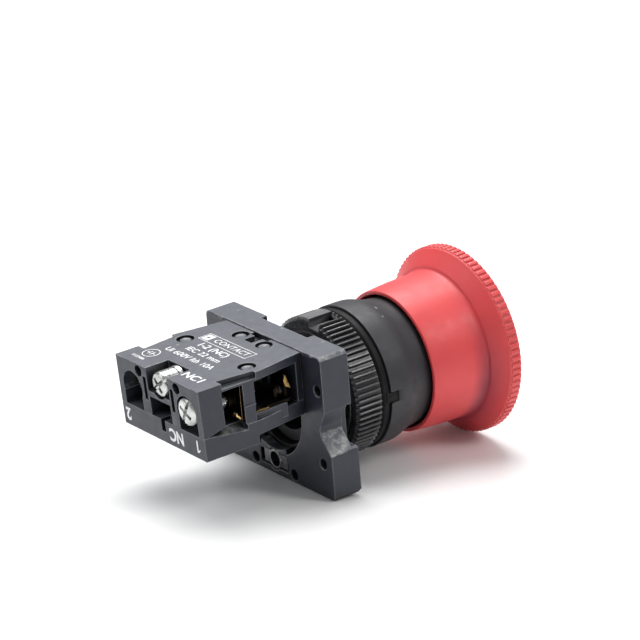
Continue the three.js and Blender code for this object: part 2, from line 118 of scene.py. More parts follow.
def noise(tree, where, scale, detail, rough=0.55):
    node = tree.nodes.new("ShaderNodeTexNoise")
    node.inputs["Scale"].default_value = scale
    node.inputs["Detail"].default_value = detail
    node.inputs["Roughness"].default_value = rough
    tree.links.new(where, node.inputs["Vector"])
    return node.outputs["Fac"]


def ramp(tree, value, stops):
    """Colours from a value: stops are (value, colour)."""
    node = tree.nodes.new("ShaderNodeValToRGB")
    for _ in range(len(stops) - 2):
        node.color_ramp.elements.new(0.5)
    for element, (at, colour) in zip(node.color_ramp.elements, stops):
        element.position = at
        element.color = (*colour, 1)
    tree.links.new(value, node.inputs["Fac"])
    return node.outputs["Color"]


def scaled(tree, value, low, high, from_low=0.0, from_high=1.0):
    """The value carried from one range to another and held inside it."""
    node = tree.nodes.new("ShaderNodeMapRange")
    node.inputs["From Min"].default_value = from_low
    node.inputs["From Max"].default_value = from_high
    node.inputs["To Min"].default_value = low
    node.inputs["To Max"].default_value = high
    tree.links.new(value, node.inputs["Value"])
    return node.outputs["Result"]


def mixed(tree, amount, a, b):
    """Colour a where the amount is 0, b where it is 1."""
    node = tree.nodes.new("ShaderNodeMix")
    node.data_type = "RGBA"
    tree.links.new(amount, node.inputs["Factor"])
    for socket, value in ((node.inputs["A"], a), (node.inputs["B"], b)):
        if isinstance(value, tuple):
            socket.default_value = (*value, 1)
        else:
            tree.links.new(value, socket)
    return node.outputs["Result"]


def math_node(tree, kind, a, b):
    node = tree.nodes.new("ShaderNodeMath")
    node.operation = kind
    for socket, value in zip(node.inputs, (a, b)):
        if isinstance(value, (int, float)):
            socket.default_value = value
        else:
            tree.links.new(value, socket)
    return node.outputs["Value"]


def bump(tree, shader, heights):
    """Adds (height, distance in metres, strength) bumps, one on the next."""
    last = None
    for height, distance, strength in heights:
        node = tree.nodes.new("ShaderNodeBump")
        node.inputs["Distance"].default_value = distance
        node.inputs["Strength"].default_value = strength
        tree.links.new(height, node.inputs["Height"])
        if last:
            tree.links.new(last, node.inputs["Normal"])
        last = node.outputs["Normal"]
    tree.links.new(last, shader.inputs["Normal"])


def edges(tree, radius):
    """1 close to an edge, 0 elsewhere: where a rounded normal turns away from the true one."""
    soft = tree.nodes.new("ShaderNodeBevel")
    soft.samples = 4
    soft.inputs["Radius"].default_value = radius
    geometry = tree.nodes.new("ShaderNodeNewGeometry")
    likeness = tree.nodes.new("ShaderNodeVectorMath")
    likeness.operation = "DOT_PRODUCT"
    tree.links.new(soft.outputs["Normal"], likeness.inputs[0])
    tree.links.new(geometry.outputs["Normal"], likeness.inputs[1])
    return scaled(tree, likeness.outputs["Value"], 1, 0, 0.90, 0.992)


def specks(tree, where, scale, size):
    """Rare small dots, such as dust or moulding flecks."""
    cells = tree.nodes.new("ShaderNodeTexVoronoi")
    cells.inputs["Scale"].default_value = scale
    tree.links.new(where, cells.inputs["Vector"])
    dot = scaled(tree, cells.outputs["Distance"], 1, 0, size * 0.6, size)
    picker = tree.nodes.new("ShaderNodeSeparateColor")
    tree.links.new(cells.outputs["Color"], picker.inputs["Color"])
    chosen = math_node(tree, "GREATER_THAN", picker.outputs["Red"], SPECK_THRESHOLD)
    return math_node(tree, "MULTIPLY", dot, chosen)


def painted_crevice_shade(tree, reach, most):
    """Painted shade: the given most in tight corners, 0 in the open."""
    open_sky = tree.nodes.new("ShaderNodeAmbientOcclusion")
    open_sky.samples = 6
    open_sky.inputs["Distance"].default_value = reach
    return scaled(tree, open_sky.outputs["AO"], most, 0, 0.42, 0.95)


def painted_crease_shade(tree, where, y, reach):
    """Painted shade around the crease at height y along the axis, mostly on its underside."""
    split = tree.nodes.new("ShaderNodeSeparateXYZ")
    tree.links.new(where, split.inputs["Vector"])
    away = math_node(tree, "ABSOLUTE", math_node(tree, "SUBTRACT", split.outputs["Y"], y), 0.0)
    band = scaled(tree, away, 1, 0, 0.0, reach)
    under = scaled(tree, split.outputs["Z"], 0.75, 0.1, -0.004, 0.011)
    return math_node(tree, "MULTIPLY", band, under)


def rise(tree, where):
    """The upward part of the surface's direction."""
    split = tree.nodes.new("ShaderNodeSeparateXYZ")
    tree.links.new(where.node.outputs["Normal"], split.inputs["Vector"])
    return split.outputs["Z"]


def dust_and_top_light(tree, where):
    """Patchy dust and painted top light on faces that look up, 0 on upright ones."""
    upward = scaled(tree, rise(tree, where), 0, 1, 0.15, 0.7)
    patches = scaled(tree, noise(tree, where, DUST_AND_LIGHT_SCALE, 5), 0.35, 0.9)
    return math_node(tree, "MULTIPLY", upward, patches)


def scuffs_and_highlight(tree, where):
    """Rubbed, lighter patches with painted highlight on faces that slope and on rounded edges that face up.
    """
    height = rise(tree, where)
    not_upright = scaled(tree, height, 0, 1, 0.1, 0.3)
    not_level = scaled(tree, height, 1, 0, 0.972, 0.992)
    sloping = math_node(tree, "MULTIPLY", not_upright, not_level)
    patches = scaled(tree, noise(tree, where, SCUFF_AND_HIGHLIGHT_SCALE, 6, 0.7), 0, 0.85, 0.44, 0.62)
    return math_node(tree, "MULTIPLY", sloping, patches)


def plastic(name, colour, edge_wear_and_highlight, rough, grain, dust=0.0, top_dust_and_light=None, dark=None, reach=0.003,
            most=1.0, crease=None, scuff_and_highlight_colour=None, edge_radius=EDGE_RADIUS, ior=1.5, scatter=0.0, cloud=0.12):
    """Moulded plastic. Clouds of colour, dust with painted top light, lighter rubbed patches with painted
    highlight, painted shade in tight corners and at a crease, lighter edges (edge wear with painted edge
    highlight) and dust specks lie over each other in this order. The grain is the mould texture's depth."""
    made, tree, shader, where = material(name)
    shade = tuple(c * (1 - cloud) for c in colour)
    tint = tuple(min(1, c * (1 + cloud)) for c in colour)
    base = ramp(tree, noise(tree, where, CLOUD_SCALE, 4), [(0.3, shade), (0.7, tint)])
    # Dust on faces that look up, together with painted top light, then rubbed patches on slopes with painted
    # highlight.
    if top_dust_and_light:
        base = mixed(tree, dust_and_top_light(tree, where), base, top_dust_and_light)
    if scuff_and_highlight_colour:
        base = mixed(tree, scuffs_and_highlight(tree, where), base, scuff_and_highlight_colour)
    # Painted shade in tight corners, and at the crease with more on its underside.
    if dark:
        base = mixed(tree, painted_crevice_shade(tree, reach, most), base, dark)
    if crease:
        base = mixed(tree, painted_crease_shade(tree, where, *crease), base, dark)
    # Lighter edges: edge wear with painted edge highlight.
    base = mixed(tree, edges(tree, edge_radius), base, edge_wear_and_highlight)
    if dust:
        spots = scaled(tree, specks(tree, where, SPECK_SCALE, SPECK_SIZE), 0, dust)
        base = mixed(tree, spots, base, SPECK_COLOUR)
    tree.links.new(base, shader.inputs["Base Color"])
    rub = noise(tree, where, RUB_SCALE, 5, 0.65)
    roughness = scaled(tree, rub, rough - SMOOTHER, rough + PLASTIC_ROUGHER, 0.3, 0.7)
    tree.links.new(roughness, shader.inputs["Roughness"])
    fine = noise(tree, where, GRAIN_SCALE, 2)
    bump(tree, shader, [(fine, grain, 0.5), (rub, grain * 2.2, 0.25)])
    shader.inputs["IOR"].default_value = ior
    if scatter:
        shader.inputs["Subsurface Weight"].default_value = scatter
        shader.inputs["Subsurface Radius"].default_value = SCATTER_COLOURS
        shader.inputs["Subsurface Scale"].default_value = SCATTER_DEPTH
    return made


def metal(name, colour, dark, rough, shaded_face=None, bright_from=0.0):
    """Metal in two clouded tones. Given a face colour, its faces take that colour as painted shade, and the
    bright metal stays, as painted glints, only on edges further from the middle plane than bright_from."""
    made, tree, shader, where = material(name)
    base = ramp(tree, noise(tree, where, METAL_CLOUD_SCALE, 4), [(0.3, dark), (0.65, colour)])
    if shaded_face:
        split = tree.nodes.new("ShaderNodeSeparateXYZ")
        tree.links.new(where, split.inputs["Vector"])
        aside = math_node(tree, "ABSOLUTE", split.outputs["X"], 0.0)
        outer = math_node(tree, "GREATER_THAN", aside, bright_from)
        bright = math_node(tree, "MULTIPLY", edges(tree, METAL_EDGE_RADIUS), outer)
        base = mixed(tree, bright, shaded_face, base)
    tree.links.new(base, shader.inputs["Base Color"])
    shader.inputs["Metallic"].default_value = 1.0
    fine = noise(tree, where, METAL_GRAIN_SCALE, 3)
    roughness = scaled(tree, fine, rough - SMOOTHER, rough + METAL_ROUGHER, 0.3, 0.7)
    tree.links.new(roughness, shader.inputs["Roughness"])
    bump(tree, shader, [(fine, METAL_GRAIN_DEPTH, 0.5)])
    return made


# One material for each slot. A crease is (height along the axis, reach), in metres, where painted shade
# lies. Each dark colour is the painted shade in tight corners and at a crease.
MATERIALS = {
    # The red's edge colour is also the painted highlight along the crease behind its rim.
    "red_plastic": plastic("red_plastic", (0.68, 0.058, 0.062), (0.90, 0.22, 0.20), 0.46, 0.000010,
                           dark=(0.15, 0.010, 0.034), reach=0.004, most=0.28, crease=(-0.0236, 0.0032),
                           scatter=0.06, cloud=0.05),
    "black_plastic": plastic("black_plastic", (0.024, 0.024, 0.028), (0.10, 0.10, 0.11), 0.52, 0.000012,
                             dust=0.5, dark=(0.003, 0.003, 0.004)),
    "block_plastic": plastic("block_plastic", (0.018, 0.022, 0.034), (0.21, 0.22, 0.25), 0.42, 0.000016,
                             dust=0.3, top_dust_and_light=(0.130, 0.140, 0.160), scuff_and_highlight_colour=(0.36, 0.36, 0.35),
                             dark=(0.005, 0.005, 0.008)),
    "white_plastic": plastic("white_plastic", (0.78, 0.77, 0.72), (0.84, 0.83, 0.80), 0.45, 0.000008,
                             scatter=0.15, cloud=0.04),
    "seal_rubber": plastic("seal_rubber", (0.004, 0.004, 0.005), (0.020, 0.020, 0.022), 0.55, 0.000004,
                           dark=(0.001, 0.001, 0.001), ior=1.3),
    "nickel": metal("nickel", (0.66, 0.67, 0.65), (0.36, 0.37, 0.36), 0.24),
    "brass": metal("brass", (0.95, 0.66, 0.26), (0.62, 0.38, 0.13), 0.30),
    "silver": metal("silver", (0.10, 0.09, 0.08), (0.05, 0.045, 0.04), 0.40),
    "spring_steel": metal("spring_steel", (0.52, 0.53, 0.55), (0.34, 0.35, 0.37), 0.28),
}
# Shaded finishes of three of the slots: brass whose faces are nearly black with painted shade and bright
# only on the edges next to the side windows as painted glints, nickel whose faces are darkened with painted
# shade and bright only on its edges as painted glints, and the nut's smoother plastic with more dust and
# painted top light.
SHADED_BRASS = metal("shaded_brass", (1.0, 0.74, 0.36), (0.80, 0.50, 0.20), 0.34,
                        shaded_face=(0.018, 0.013, 0.009), bright_from=0.0126)
SHADED_NICKEL = metal("shaded_nickel", (0.80, 0.80, 0.78), (0.52, 0.52, 0.50), 0.24,
                    shaded_face=(0.19, 0.19, 0.195))
NUT_PLASTIC = plastic("nut_plastic", (0.034, 0.034, 0.038), (0.085, 0.085, 0.09), 0.30, 0.000006,
                      dust=0.3, top_dust_and_light=(0.20, 0.20, 0.205), dark=(0.002, 0.002, 0.002), reach=0.0010,
                      edge_radius=0.00009)


def print_ink():
    """White print, a little greyer where it is worn."""
    made, tree, shader, where = material("legend_ink")
    wear = noise(tree, where, PRINT_WEAR_SCALE, 4)
    worn = ramp(tree, wear, [(0.25, (0.62, 0.63, 0.64)), (0.6, (0.86, 0.87, 0.88))])
    tree.links.new(worn, shader.inputs["Base Color"])
    shader.inputs["Roughness"].default_value = 0.6
    bump(tree, shader, [(noise(tree, where, PRINT_GRAIN_SCALE, 2), 0.00001, 0.4)])
    return made


INK = print_ink()


# ---------------------------------------------------------------- mesh tools
# Faces that meet at fewer degrees than this are shaded as one.
SMOOTH_UNDER = 32
# Points closer than this, in metres, are one point. Faces that meet at fewer degrees than this are one face.
MERGE_UNDER, FLAT_UNDER = 2e-6, 0.6
# Neighbours whose areas differ by less than this belong to one curved wall or one rounded edge.
AREA_RATIO = 4


def filleted(points, steps=5):
    """A closed outline of (a, b, radius): each corner with a radius becomes an arc."""
    out = []
    count = len(points)
    for i, (a, b, radius) in enumerate(points):
        corner = Vector((a, b))
        if radius <= 0:
            out.append((a, b))
            continue
        before = Vector(points[i - 1][:2]) - corner
        after = Vector(points[(i + 1) % count][:2]) - corner
        half = before.angle(after) / 2
        reach = min(radius / math.tan(half), before.length * 0.48, after.length * 0.48)
        radius = reach * math.tan(half)
        u, v = before.normalized(), after.normalized()
        centre = corner + (u + v).normalized() * (radius / math.sin(half))
        first, last = corner + u * reach - centre, corner + v * reach - centre
        sweep = first.angle(last)
        for k in range(steps + 1):
            t = k / steps
            arm = (first * math.sin((1 - t) * sweep) + last * math.sin(t * sweep)) / math.sin(sweep)
            out.append(tuple(centre + arm))
    return out


def object_of(name, bm, smooth=SMOOTH_UNDER):
    """An object from a mesh in the making, with all its faces outwards."""
    bmesh.ops.recalc_face_normals(bm, faces=bm.faces)
    mesh = bpy.data.meshes.new(name)
    bm.to_mesh(mesh)
    bm.free()
    return object_from_mesh(name, mesh, smooth)


def object_from_mesh(name, mesh, smooth=SMOOTH_UNDER):
    """An object in the scene, smooth across edges flatter than the given degrees."""
    for face in mesh.polygons:
        face.use_smooth = True
    mesh.set_sharp_from_angle(angle=math.radians(smooth))
    made = bpy.data.objects.new(name, mesh)
    SCENE.collection.objects.link(made)
    return made


def turned(name, profile, segments, ripple=None, smooth=SMOOTH_UNDER):
    """A profile of (radius, y) in mm turned about Y. It closes on itself unless an end is on the axis.
    A ripple gives the radius at each radius, y and angle."""
    bm = bmesh.new()
    rings = []
    for radius, y in profile:
        if radius < 1e-6:
            rings.append([bm.verts.new((0, y * MM, 0))])
            continue
        ring = []
        for k in range(segments):
            angle = 2 * math.pi * k / segments
            r = ripple(radius, y, angle) if ripple else radius
            ring.append(bm.verts.new((r * math.cos(angle) * MM, y * MM, r * math.sin(angle) * MM)))
        rings.append(ring)
    pairs = list(zip(rings, rings[1:]))
    if len(rings[0]) > 1 and len(rings[-1]) > 1:
        pairs.append((rings[-1], rings[0]))
    for one, two in pairs:
        for k in range(segments):
            n = (k + 1) % segments
            if len(one) == 1:
                bm.faces.new((one[0], two[k], two[n]))
            elif len(two) == 1:
                bm.faces.new((one[k], two[0], one[n]))
            else:
                bm.faces.new((one[k], two[k], two[n], one[n]))
    return object_of(name, bm, smooth)


def block(x0, x1, y0, y1, z0, z1, bevel=0.0):
    """A box in mm, to cut or join with."""
    bm = bmesh.new()
    bmesh.ops.create_cube(bm, size=1)
    size = Matrix.Diagonal(((x1 - x0) * MM, (y1 - y0) * MM, (z1 - z0) * MM, 1))
    middle = Matrix.Translation(Vector((x0 + x1, y0 + y1, z0 + z1)) * MM / 2)
    bmesh.ops.transform(bm, matrix=middle @ size, verts=bm.verts)
    if bevel:
        bmesh.ops.bevel(bm, geom=bm.edges[:], offset=bevel * MM, segments=2, affect="EDGES", profile=0.6)
    return object_of("cutter", bm)


def carve(target, tools, kind="DIFFERENCE"):
    """Applies boolean tools to the target one by one and removes them."""
    for tool in tools:
        step = target.modifiers.new("carve", "BOOLEAN")
        step.operation = kind
        step.solver = "EXACT"
        step.object = tool
        settle(target)
        bpy.data.objects.remove(tool)


def settle(target):
    """Applies the target's modifiers."""
    graph = bpy.context.evaluated_depsgraph_get()
    mesh = bpy.data.meshes.new_from_object(target.evaluated_get(graph))
    target.modifiers.clear()
    target.data = mesh


def softened(target, width, segments=2, angle=35, smooth=40, lines=()):
    """Rounds the target's edges sharper than angle by width mm. Lines are thin boxes cut after that."""
    bm = bmesh.new()
    bm.from_mesh(target.data)
    bmesh.ops.remove_doubles(bm, verts=bm.verts, dist=MERGE_UNDER)
    bmesh.ops.dissolve_limit(bm, angle_limit=math.radians(FLAT_UNDER), verts=bm.verts, edges=bm.edges)
    bmesh.ops.triangulate(bm, faces=bm.faces)
    bm.to_mesh(target.data)
    bm.free()
    step = target.modifiers.new("edges", "BEVEL")
    step.width = width * MM
    step.segments = segments
    step.limit_method = "ANGLE"
    step.angle_limit = math.radians(angle)
    step.use_clamp_overlap = False
    settle(target)
    carve(target, [block(*line) for line in lines])
    shade(target.data, math.radians(smooth))
    return target


def shade(mesh, limit):
    """Smooth over curved walls and over rounded edges, but never from a rounded edge into a flat face."""
    bm = bmesh.new()
    bm.from_mesh(mesh)
    areas = {face: face.calc_area() for face in bm.faces}
    for face in bm.faces:
        face.smooth = True
    for edge in bm.edges:
        if len(edge.link_faces) == 2:
            small, large = sorted(areas[face] for face in edge.link_faces)
            edge.smooth = edge.calc_face_angle(0) < limit and large < AREA_RATIO * small
    bm.to_mesh(mesh)
    bm.free()


def from_cad(node):
    """A copy of a CAD node's shape, to be worked on."""
    source = frame["nodes"][node]
    mesh = bpy.data.meshes.new(node + "_detail")
    corners = [vertex.co for vertex in source.data.vertices]
    mesh.from_pydata(corners, [], [face.vertices[:] for face in source.data.polygons])
    made = object_from_mesh(node + "_detail", mesh)
    made.matrix_world = source.matrix_world
    return made


def place(piece, slot, body, nodes=(), paint=None):
    """Gives a piece the material of its slot, or the paint given instead, puts it on its body and hides the
    CAD nodes it stands for.
    """
    piece.data.materials.clear()
    piece.data.materials.append(paint or MATERIALS[slot])
    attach(piece, body)
    if nodes:
        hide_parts(*nodes)
    return piece


# ---------------------------------------------------------------- operating head
# Lengths are in mm, and every profile is a list of (radius, y), with a corner radius third where it has one.
HEAD_R = (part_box("mushroom_cap")[1].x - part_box("mushroom_cap")[0].x) / 2 / MM
KNURLS = 88
KNURL_ROOT, KNURL_END_Y = 19.6, -27.15
THREAD_R, THREAD_DEPTH, THREAD_PITCH = 11.0, 0.62, 1.5
THREAD_START, THREAD_END, THREAD_FADE = 7.7, 13.4, 0.4
NUT_RIBS = 74
NUT_ROOT = 14.25
# The nut's wide smooth ribs, in degrees around each half turn.
NUT_PLAIN_FROM, NUT_PLAIN_TO = 74, 90.5
# The front of the dome, as (radius, y) from its middle outwards.
DOME = [(0, -31.4), (4, -31.37), (8, -31.26), (11.5, -31.06), (14.5, -30.76), (16.8, -30.42),
        (18.4, -30.02), (19.2, -29.76)]


def trapezoid(t, slope, top):
    """A wave of length 1: 0 at t = 0, up to 1 over slope, flat over top, down again and 0 for the rest."""
    t %= 1
    if t < slope:
        return t / slope
    if t < slope + top:
        return 1
    if t < 2 * slope + top:
        return (2 * slope + top - t) / slope
    return 0


def mushroom_cap():
    """The red head: dome, knurled rim, the valley behind it, the skirt and the hollow inside."""
    rim = [(19.6, -29.62), (19.75, -29.56), (HEAD_R - 0.05, -29.42), (HEAD_R, -29.25), (HEAD_R, -27.4),
           (HEAD_R - 0.04, -27.22), (19.62, -27.12), (19.6, -26.98), (19.5, -26.84)]
    rear = [(19.35, -26.75), (18.6, -26.12), (17.7, -25.36), (17.1, -24.84), (16.72, -24.5),
            (16.52, -24.32), (16.36, -24.24), (16.2, -24.2), (16.04, -24.12), (15.9, -23.94),
            (15.79, -23.62), (15.72, -23.1), (15.67, -22.3), (15.64, -21.4), (15.6, -20.3),
            (15.54, -18.8), (15.47, -17), (15.38, -15.4), (15.28, -14), (15.14, -12.4)]
    skirt = filleted([(15.14, -12.4, 0), (15.0, -10.94, 0.28), (14.2, -10.94, 0.2), (14.05, -11.6, 0)])[1:]
    inside = [(14.05, -18), (14.05, -25.2), (13.8, -26.0), (13.1, -26.5), (5.2, -26.6), (5.2, -18.1),
              (5.0, -18), (3.2, -18), (3.1, -18.1), (3.1, -26.2), (0, -26.2)]

    def knurl(radius, y, angle):
        if radius <= KNURL_ROOT or y > KNURL_END_Y:
            return radius
        rib = trapezoid(angle * KNURLS / (2 * math.pi), 0.14, 0.46)
        return KNURL_ROOT + (radius - KNURL_ROOT) * rib

    cap = turned("cap", DOME + rim + rear + skirt + inside, KNURLS * 8, knurl, smooth=38)
    return place(cap, "red_plastic", "head", ["mushroom_cap"])


def dome_height(radius):
    """The y of the dome's front at a radius."""
    for (r0, y0), (r1, y1) in zip(DOME, DOME[1:]):
        if r0 <= radius <= r1:
            return y0 + (y1 - y0) * (radius - r0) / (r1 - r0)
    return DOME[-1][1]


def turn_arrow(number, start):
    """A curved arrow printed on the dome, pointing the way the head turns."""
    inner, middle, outer = 11.2, 12, 12.8
    sweep, head_sweep, head_half = 62, 15, 1.9
    shaft_steps, head_steps = 24, 8
    blunt, above, below = 0.02, 0.015, -0.012
    samples = []
    for k in range(shaft_steps + 1):
        angle = start + sweep * k / shaft_steps
        samples.append((angle, inner, outer))
    tip = start + sweep
    samples.append((tip, middle - head_half, middle + head_half))
    for k in range(1, head_steps + 1):
        t = k / head_steps
        half = head_half * (1 - t)
        samples.append((tip + head_sweep * t, middle - half - blunt, middle + half + blunt))
    bm = bmesh.new()
    rows = []
    for angle, low, high in samples:
        a = math.radians(angle)
        row = []
        for lift in (above, below):
            for radius in (low, (low + high) / 2, high):
                y = dome_height(radius) - lift
                row.append(bm.verts.new((radius * math.cos(a) * MM, y * MM, -radius * math.sin(a) * MM)))
        rows.append(row)
    for one, two in zip(rows, rows[1:]):
        for i, j in ((0, 1), (1, 2), (2, 5), (5, 4), (4, 3), (3, 0)):
            bm.faces.new((one[i], one[j], two[j], two[i]))
    bm.faces.new([rows[0][i] for i in (0, 1, 2, 5, 4, 3)])
    bm.faces.new([rows[-1][i] for i in (3, 4, 5, 2, 1, 0)])
    arrow = object_of(f"turn_arrow_{number}", bm)
    return place(arrow, "white_plastic", "head", paint=INK)


def bezel():
    """The black bezel from its neck to the threaded barrel, with a seat for the tab and a keyway."""
    shoulder = [(13.5, -11.6), (13.58, -10.6), (13.68, -9.6), (13.82, -8.7), (14.02, -7.8), (14.26, -7.0),
                (14.52, -6.3), (14.78, -5.6), (14.97, -4.9), (15.07, -4.2), (15.1, -3.4)]
    neck = filleted([(12.1, -16.2, 0.2), (13.45, -16.2, 0.35), (13.45, -12.5, 0)])
    flange = filleted([(15.1, -1.5, 0), (15.1, -0.02, 0.15), (14.4, -0.02, 0.05), (THREAD_R, 0.0, 0),
                       (THREAD_R, 3.0, 0)])
    thread = [(THREAD_R, k * 0.125) for k in range(62, 107)]
    end_and_inside = filleted([(THREAD_R, 14.0, 0), (THREAD_R, 16.7, 0.3), (9.2, 16.7, 0.3), (9.2, -1, 0),
                               (7.7, -1, 0.1), (7.7, -3, 0.1), (11.4, -3, 0), (11.4, -9.5, 0),
                               (12.1, -9.5, 0), (12.1, -15, 0)])

    def threaded(radius, y, angle):
        if radius != THREAD_R or not THREAD_START < y < THREAD_END:
            return radius
        fade = min(1, (y - THREAD_START) / THREAD_FADE, (THREAD_END - y) / THREAD_FADE)
        groove = 1 - trapezoid(y / THREAD_PITCH - angle / (2 * math.pi), 0.38, 0.12)
        return radius - THREAD_DEPTH * fade * groove

    body = turned("bezel", neck + shoulder + flange + thread + end_and_inside, 288, threaded)
    tab_seat = block(-16, -13.4, -1.95, 0.6, -1.5, 0.95, 0.1)
    keyway = block(-1.3, 1.3, 9, 18, 10.1, 12.4)
    carve(body, [tab_seat, keyway])
    return place(body, "black_plastic", "operator", ["bezel_body"])


def gasket():
    """The seal behind the bezel's flange, with the tab that keeps it from turning."""
    profile = filleted([(11.3, 0.02, 0.2), (14.6, 0.02, 0.25), (14.62, 1.35, 0.22), (14.1, 1.9, 0.3),
                        (11.3, 1.9, 0.2)], 6)
    ring = turned("gasket_ring", profile, 256)
    tab = block(-14.85, -13.6, -1.8, 1.0, -1.3, 0.8, 0.18)
    carve(ring, [tab], "UNION")
    return place(ring, "seal_rubber", "operator", ["gasket"])


def ring_nut():
    """The ribbed nut, with two smooth ribs and a notch cut into each."""
    profile = filleted([(11.15, 1.95, 0.2), (14.3, 1.95, 0), (15.03, 2.4, 0.12), (15.03, 7.9, 0.12),
                        (14.3, 8.29, 0), (12.9, 8.29, 0.12), (12.75, 8.0, 0.1), (12.1, 8.0, 0.1),
                        (12.0, 8.25, 0.1), (11.15, 8.25, 0.15)], 3)

    def ribbed(radius, y, angle):
        if radius <= NUT_ROOT or NUT_PLAIN_FROM < math.degrees(angle) % 180 < NUT_PLAIN_TO:
            return radius
        rib = trapezoid(angle * NUT_RIBS / (2 * math.pi) + 0.1, 0.12, 0.30)
        return NUT_ROOT + (radius - NUT_ROOT) * rib

    nut = turned("ribbed_nut", profile, NUT_RIBS * 8, ribbed, smooth=30)
    notches = []
    for side in (1, -1):
        near, far = sorted((13.35 * side, 16 * side))
        low, high = sorted((-3.35 * side, -0.08 * side))
        notches.append(block(low, high, 2.75, 9, near, far))
    carve(nut, notches)
    return place(nut, "black_plastic", "nut", ["ring_nut"], NUT_PLASTIC)


# ---------------------------------------------------------------- collar and contact block
# How wide the rounded edges of the collar, the case, the terminal plates and the thin strips are.
COLLAR_EDGE, CASE_EDGE, PLATE_EDGE, STRIP_EDGE = 0.2, 0.1, 0.07, 0.08
# The block's rear leans back as it rises, fully behind y = 40 mm and not at all before y = 30 mm.
LEAN, LEAN_FROM, LEAN_OVER = 0.047, 30, 10
# The joints in the cover's side walls, as boxes from x to x, y to y and z to z.
JOINT_LINES = [(-14.6, -14.25, 31.9, 34.4, 8.4, 8.52), (14.25, 14.6, 31.9, 34.4, 8.4, 8.52)]
# Where the cover's pins are, the floor of their pockets, and a pin head's profile as (radius, height).
PINS = [(10.6, 30.75), (-10.6, 30.75), (4, 22), (-4, 22)]
PIN_FLOOR = 13.905
PIN_HEAD = [(0, 0.34), (0.35, 0.36), (0.6, 0.5), (0.85, 0.62), (1.1, 0.6), (1.3, 0.4), (1.38, 0.12),
            (1.4, 0.0), (0, 0.0)]


def collar():
    body = softened(from_cad("collar"), COLLAR_EDGE)
    return place(body, "block_plastic", "operator", ["collar"])


def housing(node, lines=()):
    """Half of the contact block's case."""
    body = leaned(softened(from_cad(node), CASE_EDGE, lines=lines))
    return place(body, "block_plastic", "operator", [node])


def leaned(piece):
    """The block's rear face leans back by a few degrees, and what is set in it leans with it."""
    for vertex in piece.data.vertices:
        share = min(1, max(0, (vertex.co.y / MM - LEAN_FROM) / LEAN_OVER))
        vertex.co.y += LEAN * max(0, vertex.co.z) * share
    return piece


def staked_pins():
    """The melted heads of the pins that hold the cover, low in their round pockets."""
    turn = Matrix.Rotation(math.radians(90), 4, "X")
    for number, (x, y) in enumerate(PINS, 1):
        head = turned(f"staked_pin_{number}", PIN_HEAD, 40)
        head.data.transform(Matrix.Translation(Vector((x, y, PIN_FLOOR)) * MM) @ turn)
        place(head, "block_plastic", "operator")


def contact_metal():
    """The brass strips seen through the side windows, each with its curled foot and bent contact tip.
    All points are (y, z)."""
    curl = [(35.75, 7.15), (35.95, 6.9), (35.85, 6.6), (35.55, 6.45), (35.3, 6.2), (35.0, 5.75),
            (34.75, 5.4)]
    half_thickness = 0.19
    foot = []
    for (y0, z0), (y1, z1) in zip(curl, curl[1:]):
        along = Vector((y1 - y0, z1 - z0)).normalized() * half_thickness
        foot.append(((y0 - along.y, z0 + along.x), (y0 + along.y, z0 - along.x)))
    tip = [((23.35, 9.75), (22.95, 8.45)), ((22.85, 10.85), (21.75, 7.7))]
    for number, side in ((1, -1), (2, 1)):
        plate = softened(from_cad(f"terminal_plate_{number}"), PLATE_EDGE)
        # The plate's faces are nearly black with painted shade; only its edges by the windows stay bright,
        # as painted glints.
        place(plate, "brass", "operator", [f"terminal_plate_{number}"], SHADED_BRASS)
        ribbon(f"plate_curl_{number}", foot, 13.35 * side, 12.2 * side)
        ribbon(f"contact_tip_{number}", tip, 11.75 * side, 11.1 * side)


def ribbon(name, rungs, outer, inner):
    """A short strip of brass between pairs of (y, z) points, from one x to another."""
    bm = bmesh.new()
    rows = []
    for a, b in rungs:
        corners = ((outer, a), (outer, b), (inner, b), (inner, a))
        rows.append([bm.verts.new((x * MM, y * MM, z * MM)) for x, (y, z) in corners])
    for one, two in zip(rows, rows[1:]):
        for k in range(4):
            n = (k + 1) % 4
            bm.faces.new((one[k], one[n], two[n], two[k]))
    bm.faces.new(rows[0])
    bm.faces.new(rows[-1])
    return place(softened(object_of(name, bm), STRIP_EDGE), "brass", "operator")


# ---------------------------------------------------------------- screws
SCREW_PITCH, SCREW_THREAD_DEPTH, SCREW_STEP = 0.6, 0.22, 0.1
# The plain neck between a screw's head and its thread.
SCREW_NECK = 0.5
CROSS_DEPTH = 1.25
SLOT_DEPTH, SLOT_HALF = 0.75, 0.36
SCREW_EDGE = 0.05
# A head's radius and height, a shank's radius and its length.
TERMINAL_HEAD, TERMINAL_SHANK, TERMINAL_LENGTH = (3.0, 1.9), 1.7, 7.4
FIXING_HEAD, FIXING_SHANK, FIXING_LENGTH = (2.65, 4.1), 1.58, 22.8
CLAMP_INNER, CLAMP_OUTER, CLAMP_THICKNESS, CLAMP_GAP = 1.9, 3.05, 0.7, 0.05
TERMINAL_X, TERMINAL_Z, FIXING_Z = 9.4, 9.1, 12.0


def cross_recess(face, reach, depth):
    """Cutters for a cross recess that narrows as it goes in, in a head whose face is at y = face."""
    sections = ((face + 0.3, reach + 0.15, 0.42), (face - depth * 0.25, reach, 0.42),
                (face - depth, reach * 0.45, 0.3))
    tools = []
    for turn in (0, 90):
        bm = bmesh.new()
        rows = []
        for y, half, wide in sections:
            corners = ((-half, -wide), (half, -wide), (half, wide), (-half, wide))
            rows.append([bm.verts.new((x * MM, y * MM, z * MM)) for x, z in corners])
        for one, two in zip(rows, rows[1:]):
            for i in range(4):
                j = (i + 1) % 4
                bm.faces.new((one[i], one[j], two[j], two[i]))
        bm.faces.new(rows[0])
        bm.faces.new(rows[-1])
        turning = Matrix.Rotation(math.radians(turn), 3, "Y")
        bmesh.ops.rotate(bm, verts=bm.verts, cent=(0, 0, 0), matrix=turning)
        tools.append(object_of("cutter", bm))
    return tools


